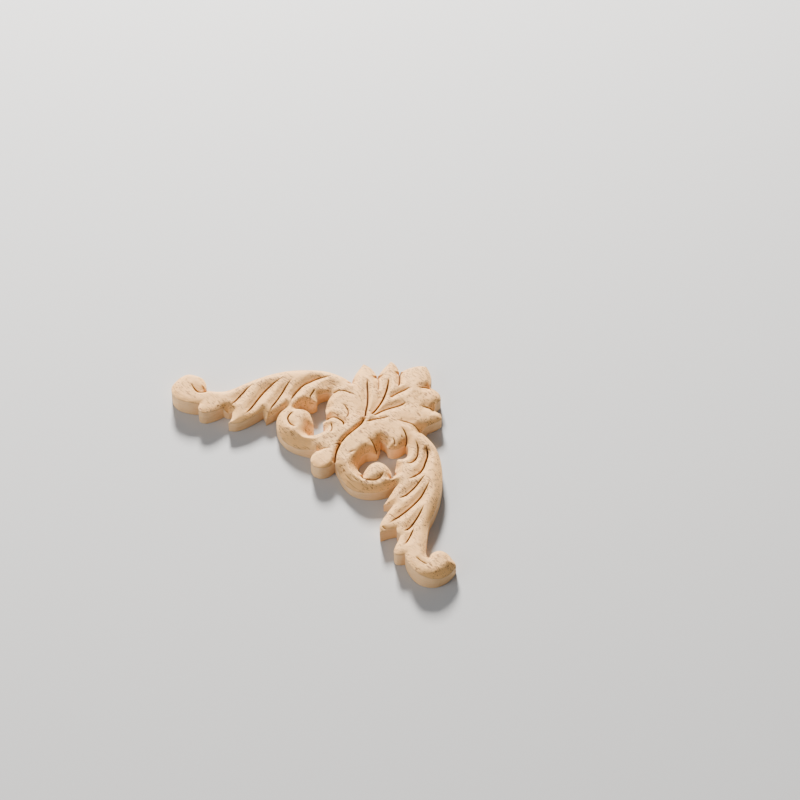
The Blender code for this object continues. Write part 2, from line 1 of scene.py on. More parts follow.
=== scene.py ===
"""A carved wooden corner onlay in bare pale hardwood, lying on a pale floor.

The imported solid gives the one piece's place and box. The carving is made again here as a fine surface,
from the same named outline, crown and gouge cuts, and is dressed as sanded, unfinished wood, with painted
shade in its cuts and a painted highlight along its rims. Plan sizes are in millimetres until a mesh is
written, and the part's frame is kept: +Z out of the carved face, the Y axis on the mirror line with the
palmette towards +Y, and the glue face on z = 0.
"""
import logging
import math
from dataclasses import dataclass
from enum import Enum

import bpy
import numpy as np
from mathutils import Matrix, Vector
from mathutils.geometry import delaunay_2d_cdt


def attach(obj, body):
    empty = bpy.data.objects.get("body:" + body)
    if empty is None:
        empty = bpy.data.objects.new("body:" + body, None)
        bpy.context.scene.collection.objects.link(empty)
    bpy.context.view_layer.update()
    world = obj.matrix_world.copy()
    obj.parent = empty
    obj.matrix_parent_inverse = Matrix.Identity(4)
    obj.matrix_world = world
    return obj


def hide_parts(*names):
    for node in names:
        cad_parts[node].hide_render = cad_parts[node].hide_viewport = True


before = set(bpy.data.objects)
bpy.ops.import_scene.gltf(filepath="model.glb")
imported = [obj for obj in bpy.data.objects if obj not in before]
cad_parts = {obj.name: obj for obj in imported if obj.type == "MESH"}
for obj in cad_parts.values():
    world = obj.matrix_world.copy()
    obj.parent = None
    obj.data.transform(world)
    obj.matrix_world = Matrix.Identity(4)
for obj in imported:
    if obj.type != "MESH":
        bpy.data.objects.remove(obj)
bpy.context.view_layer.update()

NODE = "corner_onlay"
MM = 0.001
PHOTO_SIZE = 800

Pair = tuple[float, float]
Path = tuple[Pair, ...]
Triple = tuple[float, float, float]
Colour = tuple[float, float, float, float]
LOG = logging.getLogger("onlay")


class Half(Enum):
    """The two halves of the ornament, by the sign of x."""

    LEFT = -1.0
    RIGHT = 1.0


def smooth_curve(points: Path, step: float) -> np.ndarray:
    """Points about a step apart on a centripetal Catmull-Rom curve through the given points.

    Each span blends straight lines between four neighbouring points, with knots spaced by the square
    root of the distance between them, so that the curve passes through all points without loops.

    Args:
        points: the points that the curve passes through.
        step: the distance wanted between neighbours on the curve.

    Returns:
        An array of plan points, the last given point included.
    """
    p = np.asarray(points, float)
    ends = np.vstack([2 * p[0] - p[1], p, 2 * p[-1] - p[-2]])
    runs = []
    for a, b, c, d in zip(ends[:-3], ends[1:-2], ends[2:-1], ends[3:]):
        k1 = math.sqrt(np.linalg.norm(b - a))
        k2 = k1 + math.sqrt(np.linalg.norm(c - b))
        k3 = k2 + math.sqrt(np.linalg.norm(d - c))
        count = max(1, round(np.linalg.norm(c - b) / step))
        k = np.linspace(k1, k2, count, endpoint=False)[:, None]
        ab = a + (b - a) * k / k1
        bc = b + (c - b) * (k - k1) / (k2 - k1)
        cd = c + (d - c) * (k - k2) / (k3 - k2)
        abc = ab + (bc - ab) * k / k2
        bcd = bc + (cd - bc) * (k - k1) / (k3 - k1)
        runs.append(abc + (bcd - abc) * (k - k1) / (k2 - k1))
    return np.vstack(runs + [p[-1:]])


def distance_to_path(points: np.ndarray, path: np.ndarray) -> tuple[np.ndarray, np.ndarray, np.ndarray]:
    """Distance from each plan point to a polyline: the least of the distances to its straight edges.

    Args:
        points: plan points, one a row.
        path: the polyline's points, one a row.

    Returns:
        The distance, the share of the polyline's length passed at the nearest place, from 0 to 1, and
        the side: 1 to the left of the path and -1 to the right of it.
    """
    best = np.full(len(points), np.inf)
    along = np.zeros(len(points))
    side = np.ones(len(points))
    lengths = np.linalg.norm(np.diff(path, axis=0), axis=1)
    starts = np.concatenate([[0.0], np.cumsum(lengths)])
    for a, b, start, length in zip(path[:-1], path[1:], starts, lengths):
        edge = b - a
        off = points - a
        t = np.clip(off @ edge / length ** 2, 0.0, 1.0)
        r = np.hypot(off[:, 0] - t * edge[0], off[:, 1] - t * edge[1])
        nearer = r < best
        best[nearer] = r[nearer]
        along[nearer] = (start + t[nearer] * length) / starts[-1]
        side[nearer] = np.sign(edge[0] * off[nearer, 1] - edge[1] * off[nearer, 0])
    return best, along, side


def inside(points: np.ndarray, loop: np.ndarray) -> np.ndarray:
    """Which points lie in a closed loop: those where a ray towards +X crosses an odd number of edges."""
    count = np.zeros(len(points), int)
    x, y = points.T
    for a, b in zip(loop, np.roll(loop, -1, axis=0)):
        crosses = (a[1] > y) != (b[1] > y)
        span = b[1] - a[1] if b[1] != a[1] else 1.0
        count += crosses & (x < a[0] + (y - a[1]) * (b[0] - a[0]) / span)
    return count % 2 == 1


def ease(t: np.ndarray) -> np.ndarray:
    """A smooth step, 3 t squared less 2 t cubed, held to 0 and 1 outside its span."""
    t = np.clip(t, 0.0, 1.0)
    return t * t * (3.0 - 2.0 * t)


@dataclass(frozen=True)
class GougeCut:
    """One cut of the gouge.

    The cut is a sharp vee in a softer sweep. Both fade out at the ends of its path, and the sweep may
    lean, so that the wood falls further away on the left of the path than on the right of it.
    """

    path: Path
    depth: float
    vee: float
    sweep: float
    fade_in: float = 0.3
    fade_out: float = 0.3
    lean: float = 0.0
    vee_share: float = 0.5
    vee_narrow: float = 0.45
    # strength of the painted shade in the vee, which stands in for the shade that falls there, from 0 to 1
    dark: float = 1.0
    reach: float = 3.0

    def line(self, step: float, sign: float) -> np.ndarray:
        """The cut's path in the part's plan, with x turned to its half."""
        return smooth_curve(self.path, step) * (sign, 1.0)

    def depth_at(self, points: np.ndarray, line: np.ndarray, sign: float) -> tuple[np.ndarray, np.ndarray]:
        """Depth of the cut and its painted shade at each plan point.

        Depth is the fade along the path, times a straight-sided vee of the named half width plus a
        bell curve of the sweep's width. The painted shade, which stands in for the shade in the vee, is the
        vee's part of that, with a shorter fade.

        Args:
            points: plan points, one a row.
            line: the cut's path, as line() gives it.
            sign: the half that the cut is in, which turns left and right of the path round.

        Returns:
            The depth in millimetres, and the painted shade from 0 to 1.
        """
        depth = np.zeros(len(points))
        shade = np.zeros(len(points))
        margin = self.reach * self.sweep * (1.0 + abs(self.lean))
        near = np.all((points > line.min(axis=0) - margin) & (points < line.max(axis=0) + margin), axis=1)
        if not near.any():
            return depth, shade
        r, along, side = distance_to_path(points[near], line)
        fade = ease(along / self.fade_in) * ease((1.0 - along) / self.fade_out)
        half_width = self.vee * (self.vee_narrow + (1.0 - self.vee_narrow) * fade)
        vee = np.clip(1.0 - r / half_width, 0.0, 1.0)
        sweep = np.exp(-(r / (self.sweep * (1.0 + self.lean * side * sign))) ** 2)
        depth[near] = self.depth * fade * (self.vee_share * vee + (1.0 - self.vee_share) * sweep)
        shade[near] = self.dark * (1.0 - (1.0 - fade) ** 2) * vee
        return depth, shade


@dataclass(frozen=True)
class Outline:
    """The plan of the onlay: stretches of smooth curve between sharp corners, with x counted outwards."""

    bud: Path = ((0.0, -13.3), (2.4, -12.4), (4.0, -10.0), (4.3, -6.8))
    ring_left: Path = (
        (4.3, -6.8), (7.2, -8.1), (11.0, -9.8), (15.5, -10.8), (20.4, -10.0), (24.5, -7.5), (27.0, -3.6),
        (27.3, 1.2),
    )
    ring_right: Path = (
        (4.3, -6.8), (7.2, -8.1), (11.0, -9.8), (15.4, -10.5), (19.8, -9.3), (23.5, -6.5), (26.0, -3.1),
        (27.3, 1.2),
    )
    leaves_left: tuple[Path, ...] = (
        ((27.3, 1.2), (28.2, -1.7), (28.8, -4.8), (29.5, -7.8)),
        ((29.5, -7.8), (30.9, -6.9), (32.5, -6.2)),
        ((32.5, -6.2), (33.2, -10.0), (34.3, -14.1), (35.9, -17.3), (38.0, -18.9)),
        ((38.0, -18.9), (38.8, -16.3), (40.8, -13.8)),
        ((40.8, -13.8), (42.2, -15.0), (43.9, -15.5)),
        (
            (43.9, -15.5), (44.4, -17.4), (45.4, -20.1), (46.9, -22.3), (48.8, -23.0), (50.3, -22.1),
            (51.2, -20.4),
        ),
    )
    leaves_right: tuple[Path, ...] = (
        ((27.3, 1.2), (28.2, -1.7), (28.8, -4.8), (29.4, -7.9)),
        ((29.4, -7.9), (30.9, -6.9), (32.5, -6.2)),
        ((32.5, -6.2), (33.4, -9.9), (34.6, -13.9), (36.0, -17.2), (37.8, -18.9)),
        ((37.8, -18.9), (39.2, -15.9), (40.8, -13.5)),
        ((40.8, -13.5), (42.4, -14.7), (44.1, -15.0)),
        (
            (44.1, -15.0), (45.1, -17.2), (46.1, -19.9), (47.2, -21.9), (48.8, -22.5), (50.3, -21.6),
            (51.2, -20.4),
        ),
    )
    arm_left: tuple[Path, ...] = (
        (
            (51.2, -20.4), (53.4, -22.3), (56.0, -23.6), (59.0, -24.4), (62.4, -23.6), (65.2, -21.1),
            (66.4, -17.8), (66.7, -14.9), (65.6, -12.0), (63.4, -10.6), (60.3, -9.9), (56.7, -11.4),
            (54.0, -13.9),
        ),
        (
            (54.0, -13.9), (52.7, -13.2), (50.4, -11.1), (48.4, -7.4), (47.1, -3.2), (46.0, 0.2),
            (44.7, 3.7), (42.9, 7.5), (40.7, 11.4), (37.8, 15.2), (34.3, 18.7), (30.1, 22.1), (25.9, 24.3),
            (21.5, 25.5), (17.6, 25.7),
        ),
    )
    arm_right: tuple[Path, ...] = (
        (
            (51.2, -20.4), (53.0, -21.7), (55.8, -22.9), (59.1, -23.6), (62.4, -23.1), (65.8, -20.8),
            (67.6, -16.8), (67.6, -13.2), (66.8, -10.5), (64.1, -9.5), (60.7, -8.9), (58.4, -9.9),
            (57.5, -13.1), (58.2, -15.4),
        ),
        (
            (58.2, -15.4), (57.2, -15.4), (55.4, -14.0), (52.0, -9.6), (49.5, -6.3), (47.4, -2.9),
            (46.3, 0.2), (44.8, 3.7), (42.9, 7.5), (40.5, 11.2), (37.5, 15.0), (34.0, 18.5), (29.8, 21.8),
            (25.6, 24.0), (21.2, 25.1), (17.0, 25.4),
        ),
    )
    palmette_left: tuple[Path, ...] = (
        ((17.6, 25.7), (19.2, 29.5), (20.6, 35.5)),
        ((20.6, 35.5), (17.5, 35.8), (15.0, 35.3), (12.4, 34.3)),
        ((12.4, 34.3), (13.3, 38.5), (13.7, 43.2)),
        ((13.7, 43.2), (11.5, 43.1), (9.5, 42.4), (7.6, 41.3)),
        ((7.6, 41.3), (6.9, 43.7), (5.6, 46.5), (4.0, 48.7), (2.1, 50.0)),
    )
    palmette_right: tuple[Path, ...] = (
        ((17.0, 25.4), (17.5, 29.7), (18.6, 33.5), (18.7, 35.4), (17.1, 36.8)),
        ((17.1, 36.8), (15.3, 36.5), (13.7, 36.6)),
        ((13.7, 36.6), (12.8, 39.6), (12.4, 42.0), (11.0, 43.3)),
        ((11.0, 43.3), (9.4, 43.8), (7.7, 43.8), (5.6, 43.4)),
        ((5.6, 43.4), (4.8, 45.2), (2.9, 47.3), (0.5, 48.9), (-2.1, 50.0)),
    )
    hollow_left: tuple[Path, ...] = (
        ((18.7, 16.6), (17.9, 13.6), (16.5, 10.8), (15.3, 9.2), (13.9, 8.1), (13.0, 7.6)),
        (
            (13.0, 7.6), (12.9, 6.2), (12.4, 4.8), (11.3, 3.7), (10.0, 3.3), (9.2, 2.3), (9.8, 0.6),
            (11.2, -1.5), (12.5, -2.7),
        ),
        (
            (12.5, -2.7), (12.7, -0.2), (14.2, 1.7), (16.6, 3.2), (18.8, 4.3), (21.0, 4.7), (23.0, 3.6),
            (24.3, 2.6),
        ),
        ((24.3, 2.6), (24.4, 5.2), (22.6, 6.4), (20.7, 8.0)),
        ((20.7, 8.0), (20.4, 10.0), (21.8, 11.5), (22.1, 13.2), (21.3, 15.3), (20.0, 16.7), (18.7, 16.6)),
    )
    hollow_right: tuple[Path, ...] = (
        ((17.3, 17.2), (16.9, 14.2), (15.7, 12.2), (13.9, 11.5), (11.8, 12.5), (9.3, 12.5)),
        ((9.3, 12.5), (10.9, 10.1), (11.9, 7.8)),
        ((11.9, 7.8), (10.8, 6.3), (9.5, 4.6), (9.2, 2.5), (10.2, -0.8), (11.9, -2.6), (14.8, -3.2)),
        (
            (14.8, -3.2), (14.1, -0.4), (14.0, 1.9), (15.3, 4.3), (17.9, 5.2), (20.7, 4.9), (22.7, 3.8),
            (23.6, 2.8),
        ),
        ((23.6, 2.8), (24.0, 5.0), (22.3, 6.0), (20.9, 7.8)),
        ((20.9, 7.8), (19.9, 10.0), (21.2, 11.7), (21.5, 13.0), (20.4, 15.2), (19.0, 16.7), (17.3, 17.2)),
    )

    def half(self, side: Half, step: float) -> np.ndarray:
        """One half of the outer outline, from the bud's tip round the arm to the palmette's tip."""
        if side is Half.LEFT:
            parts = (self.ring_left,) + self.leaves_left + self.arm_left + self.palmette_left
        else:
            parts = (self.ring_right,) + self.leaves_right + self.arm_right + self.palmette_right
        runs = [smooth_curve(stretch, step)[:-1] for stretch in (self.bud,) + parts]
        return np.vstack(runs + [np.array([parts[-1][-1]])]) * (side.value, 1.0)

    def loops(self, step: float) -> list[np.ndarray]:
        """The closed loops of the plan.

        Args:
            step: the distance wanted between neighbouring points.

        Returns:
            The outer loop, anticlockwise, and then the two hollows, clockwise, with no point repeated.
        """
        left = self.half(Half.LEFT, step)
        right = self.half(Half.RIGHT, step)
        loops = [turned(np.vstack([left[:-1], right[:0:-1]]), True)]
        for side, hollow in ((Half.LEFT, self.hollow_left), (Half.RIGHT, self.hollow_right)):
            loop = np.vstack([smooth_curve(stretch, step)[:-1] for stretch in hollow])
            loops.append(turned(loop * (side.value, 1.0), False))
        return loops


def turned(loop: np.ndarray, anticlockwise: bool) -> np.ndarray:
    """The loop in the asked direction, seen from above, by the sign of its area."""
    x, y = loop.T
    area = np.sum(x * np.roll(y, -1) - y * np.roll(x, -1))
    return loop if (area > 0) == anticlockwise else loop[::-1]


def shrunk(loop: np.ndarray, inset: float | np.ndarray) -> np.ndarray:
    """A loop moved into the wood, which lies on its left, square to its own direction."""
    along = np.roll(loop, -1, axis=0) - np.roll(loop, 1, axis=0)
    square = np.column_stack([-along[:, 1], along[:, 0]]) / np.linalg.norm(along, axis=1)[:, None]
    return loop + square * np.reshape(inset, (-1, 1))


@dataclass(frozen=True)
class Crown:
    """The wood before the gouge: edge height, crown height and shoulder width, named at a few places."""

    # x, y, edge height, crown height, shoulder width, with x counted outwards, for both halves
    places: tuple[tuple[float, float, float, float, float], ...] = (
        (0.0, 46.0, 5.2, 6.4, 3.0), (0.0, 36.0, 5.4, 7.8, 4.0), (0.0, 22.0, 5.4, 7.9, 4.2),
        (11.0, 39.0, 4.9, 6.3, 3.0), (17.5, 33.0, 4.7, 6.0, 3.0), (9.0, 29.0, 5.4, 7.5, 4.0),
        (14.0, 22.0, 4.8, 7.9, 4.4), (5.0, 10.0, 5.0, 8.0, 4.0), (13.0, -7.5, 3.4, 7.9, 6.4),
        (24.0, -4.0, 3.7, 7.6, 6.0), (18.8, 0.0, 5.2, 7.9, 3.6), (0.0, -5.0, 5.6, 7.2, 2.6),
        (0.0, -11.0, 6.7, 7.0, 1.8), (12.0, 13.5, 5.4, 7.2, 3.0), (23.0, 10.0, 5.2, 7.0, 3.0),
        (36.0, 12.0, 4.8, 7.5, 4.4), (46.0, -4.0, 4.7, 7.2, 4.0), (30.0, 0.0, 5.0, 6.9, 3.0),
        (30.0, -5.0, 5.2, 5.8, 2.4), (36.5, -6.0, 5.0, 6.8, 3.2), (43.5, -9.0, 5.2, 6.6, 3.0),
        (53.0, -16.0, 6.4, 7.3, 3.0), (56.0, -22.5, 6.9, 7.4, 2.4), (62.0, -22.0, 6.8, 7.5, 2.8),
        (60.0, -16.0, 5.8, 7.5, 3.4), (68.0, -13.5, 3.6, 7.2, 4.0), (61.0, -9.5, 4.0, 7.0, 3.6),
        (66.5, -18.0, 3.9, 7.2, 4.2), (65.0, -11.5, 3.6, 7.0, 4.0),
    )
    left_places: tuple[tuple[float, float, float, float, float], ...] = (
        (47.5, -20.0, 6.3, 6.8, 2.2), (37.0, -16.5, 4.5, 5.5, 3.0),
    )
    right_places: tuple[tuple[float, float, float, float, float], ...] = (
        (47.5, -20.0, 5.9, 6.6, 2.4), (37.0, -16.5, 6.2, 6.7, 2.2),
    )
    # Places where the wood falls away: x, y, how far down, how far round
    droops: tuple[tuple[float, float, float, float], ...] = (
        (29.4, -7.0, 1.2, 3.0), (0.0, -14.4, 0.5, 2.6), (12.4, 6.4, 1.3, 1.8),
    )
    left_droops: tuple[tuple[float, float, float, float], ...] = (
        (21.8, 7.0, 2.8, 2.2), (42.2, -14.4, 2.0, 1.6), (14.6, -0.6, 1.6, 2.4), (15.4, 10.6, 1.0, 2.0),
    )
    right_droops: tuple[tuple[float, float, float, float], ...] = (
        (22.0, 7.2, 1.6, 2.0), (11.2, 10.6, 2.1, 1.9), (38.2, -18.0, 0.5, 2.0),
    )
    reach: float = 4.0

    @staticmethod
    def both(shared: tuple, left: tuple, right: tuple) -> np.ndarray:
        """Rows of a table in the part's own plan: the shared ones in both halves, the others in their own."""
        rows = np.array(shared + right)
        mirrored = np.array(shared + left) * ((-1.0,) + (1.0,) * (rows.shape[1] - 1))
        return np.vstack([rows, mirrored[mirrored[:, 0] < 0.0]])

    def height(self, points: np.ndarray, near_edge: np.ndarray) -> np.ndarray:
        """Height of the crown at each plan point.

        Edge height, crown height and shoulder width are means of the named places, each weighed by a
        bell curve of its distance. The shoulder is a parabola that rises from the edge to the crown.

        Args:
            points: plan points, one a row.
            near_edge: the distance of each point from the outline.

        Returns:
            The height above the glue face in millimetres.
        """
        named = self.both(self.places, self.left_places, self.right_places)
        gap = (points[:, :1] - named[:, 0]) ** 2 + (points[:, 1:] - named[:, 1]) ** 2
        weight = np.exp(-gap / (2.0 * self.reach ** 2)) + 1e-9
        edge, top, width = ((weight @ named[:, i]) / weight.sum(axis=1) for i in (2, 3, 4))
        shoulder = 1.0 - (1.0 - np.clip(near_edge / width, 0.0, 1.0)) ** 2
        height = edge + (top - edge) * shoulder
        for x, y, down, around in self.both(self.droops, self.left_droops, self.right_droops):
            gap = (points[:, 0] - x) ** 2 + (points[:, 1] - y) ** 2
            height -= down * np.exp(-gap / around ** 2)
        return height


def axis_cuts() -> dict[str, GougeCut]:
    """The cuts on the mirror line."""
    return {
        "axis": GougeCut(
            ((-1.6, 15.8), (-0.5, 13.0), (-0.3, 9.6), (-0.4, 6.2), (-0.4, 3.8), (-0.1, 1.4), (0.5, -0.6),
             (1.2, -2.2), (2.2, -3.9), (3.4, -5.5), (4.3, -6.8)),
            2.2, 0.45, 0.9, 0.05, 0.02, vee_share=0.55, vee_narrow=0.7),
        "axis_branch": GougeCut(
            ((0.0, 1.6), (-0.5, 0.1), (-0.9, -1.0), (-1.5, -2.4)),
            0.6, 0.3, 0.9, 0.02, 0.8),
        "centre_vein": GougeCut(
            ((2.6, 38.6), (1.2, 37.0), (0.7, 35.4), (0.0, 33.5), (-0.5, 31.6), (-0.9, 29.6), (-1.1, 28.4)),
            1.7, 0.38, 1.5, 0.5, 0.1),
    }


def left_cuts() -> dict[str, GougeCut]:
    """The cuts of the left half, with x counted outwards."""
    return {
        "vein_a": GougeCut(
            ((42.6, -13.2), (42.6, -10.9), (42.9, -8.4), (43.2, -5.5), (43.4, -3.1), (43.2, -1.0),
             (42.4, 1.2)),
            1.6, 0.38, 1.8, 0.25, 0.5),
        "vein_b": GougeCut(
            ((35.7, -12.8), (35.9, -10.8), (36.4, -8.0), (37.1, -4.7), (37.7, -1.5), (38.0, 1.6),
             (37.7, 5.4), (36.8, 9.2), (35.6, 11.8)),
            2.2, 0.42, 2.0, 0.2, 0.5),
        "vein_c": GougeCut(
            ((29.9, -5.6), (31.0, -2.7), (31.6, 0.3), (32.5, 4.1), (33.3, 7.5), (33.8, 10.2), (33.8, 13.0)),
            1.8, 0.4, 1.9, 0.25, 0.5),
        "vein_d": GougeCut(
            ((26.6, 1.8), (27.6, 3.8), (28.4, 5.6), (28.9, 8.2), (29.2, 10.8), (29.0, 12.9), (28.4, 14.8),
             (27.9, 16.6), (26.8, 18.8), (24.9, 21.0), (22.6, 22.6)),
            2.2, 0.42, 1.9, 0.25, 0.35),
        "vein_e": GougeCut(
            ((22.0, 7.6), (22.8, 8.8), (23.8, 10.3), (24.2, 12.0), (24.3, 13.6), (23.8, 15.4)),
            1.3, 0.34, 1.5, 0.5, 0.6),
        "scoop": GougeCut(
            ((24.2, 13.4), (23.6, 16.2), (21.9, 18.6), (19.4, 20.2), (16.6, 20.9), (13.6, 21.0)),
            0.9, 0.3, 2.0, 0.3, 0.5, vee_share=0.05, dark=0.0),
        "slot": GougeCut(
            ((18.8, 16.8), (17.6, 18.4), (15.6, 19.6), (13.4, 20.3), (11.4, 20.6), (9.6, 20.3)),
            0.8, 0.3, 1.5, 0.1, 0.5),
        "ring_arc": GougeCut(
            ((18.6, 22.2), (16.6, 22.1), (14.8, 21.9), (13.2, 21.7)),
            0.35, 0.25, 0.6, 0.4, 0.4, dark=0.4),
        "eye": GougeCut(
            ((16.2, -4.6), (17.3, -4.8), (18.6, -4.9), (20.0, -4.8), (21.4, -4.2), (22.5, -3.3),
             (23.0, -2.0), (22.9, -0.4), (22.2, 0.9)),
            1.7, 0.42, 1.5, 0.3, 0.3),
        "curl_1": GougeCut(
            ((12.6, 14.8), (11.0, 14.8), (9.2, 14.3), (7.5, 13.2), (6.5, 11.8), (6.2, 10.2)),
            0.9, 0.32, 1.1, 0.4, 0.2),
        "curl_line": GougeCut(
            ((13.0, 7.6), (11.8, 7.7), (10.4, 8.3), (8.8, 8.7), (7.2, 8.8), (5.6, 8.6), (4.8, 7.6),
             (4.7, 6.6)),
            1.9, 0.42, 1.5, 0.02, 0.2),
        "curl_2": GougeCut(
            ((9.5, 5.7), (8.2, 4.9), (6.9, 3.8), (6.2, 2.4), (6.6, 1.4)),
            1.2, 0.32, 1.0, 0.35, 0.25),
        "ring_top": GougeCut(
            ((17.9, 25.7), (15.4, 25.4), (12.8, 24.6), (10.4, 23.4), (8.2, 22.0)),
            0.8, 0.3, 2.2, 0.02, 0.6, vee_share=0.2, dark=0.3),
        "vein_1": GougeCut(
            ((14.2, 31.0), (12.2, 28.6), (10.2, 26.5), (8.0, 24.3), (5.9, 21.9), (4.5, 20.1), (3.3, 18.2),
             (2.1, 16.6), (1.4, 15.2)),
            2.4, 0.46, 1.9, 0.3, 0.03, 0.35),
        "vein_2": GougeCut(
            ((8.8, 37.0), (7.0, 34.6), (5.1, 31.7), (3.5, 28.8), (2.3, 26.0),
             (1.4, 23.0), (0.9, 20.2), (0.9, 17.6)),
            2.5, 0.48, 1.9, 0.3, 0.06, 0.4),
        "notch_23": GougeCut(
            ((7.6, 41.3), (6.2, 39.8), (4.5, 37.9), (3.1, 36.1), (2.2, 34.2)),
            2.4, 0.42, 1.3, 0.02, 0.25, vee_narrow=0.7),
        "valley_12": GougeCut(
            ((12.4, 34.4), (9.8, 32.2), (7.3, 29.4), (5.2, 26.2)),
            1.6, 0.34, 1.8, 0.02, 0.45, vee_share=0.3, dark=0.4),
        "bud_side": GougeCut(
            ((-0.4, -2.4), (1.4, -3.6), (3.0, -5.2), (4.3, -6.9)),
            0.8, 0.35, 1.5, 0.8, 0.02, vee_share=0.35, dark=0.2),
        "tip_cleft": GougeCut(
            ((54.1, -13.8), (54.4, -15.4), (55.5, -16.6), (57.3, -16.7), (59.2, -16.3), (61.0, -16.2)),
            2.0, 0.42, 1.7, 0.02, 0.6, 0.4),
        "tool_a": GougeCut(
            ((18.0, -7.6), (16.1, -7.7), (14.0, -7.8)),
            0.3, 0.25, 0.6, 0.4, 0.4, dark=0.5),
        "tool_b": GougeCut(
            ((22.6, -6.6), (20.4, -8.0), (17.6, -9.0), (14.6, -9.2)),
            0.2, 0.25, 0.7, 0.5, 0.5, dark=0.2),
    }


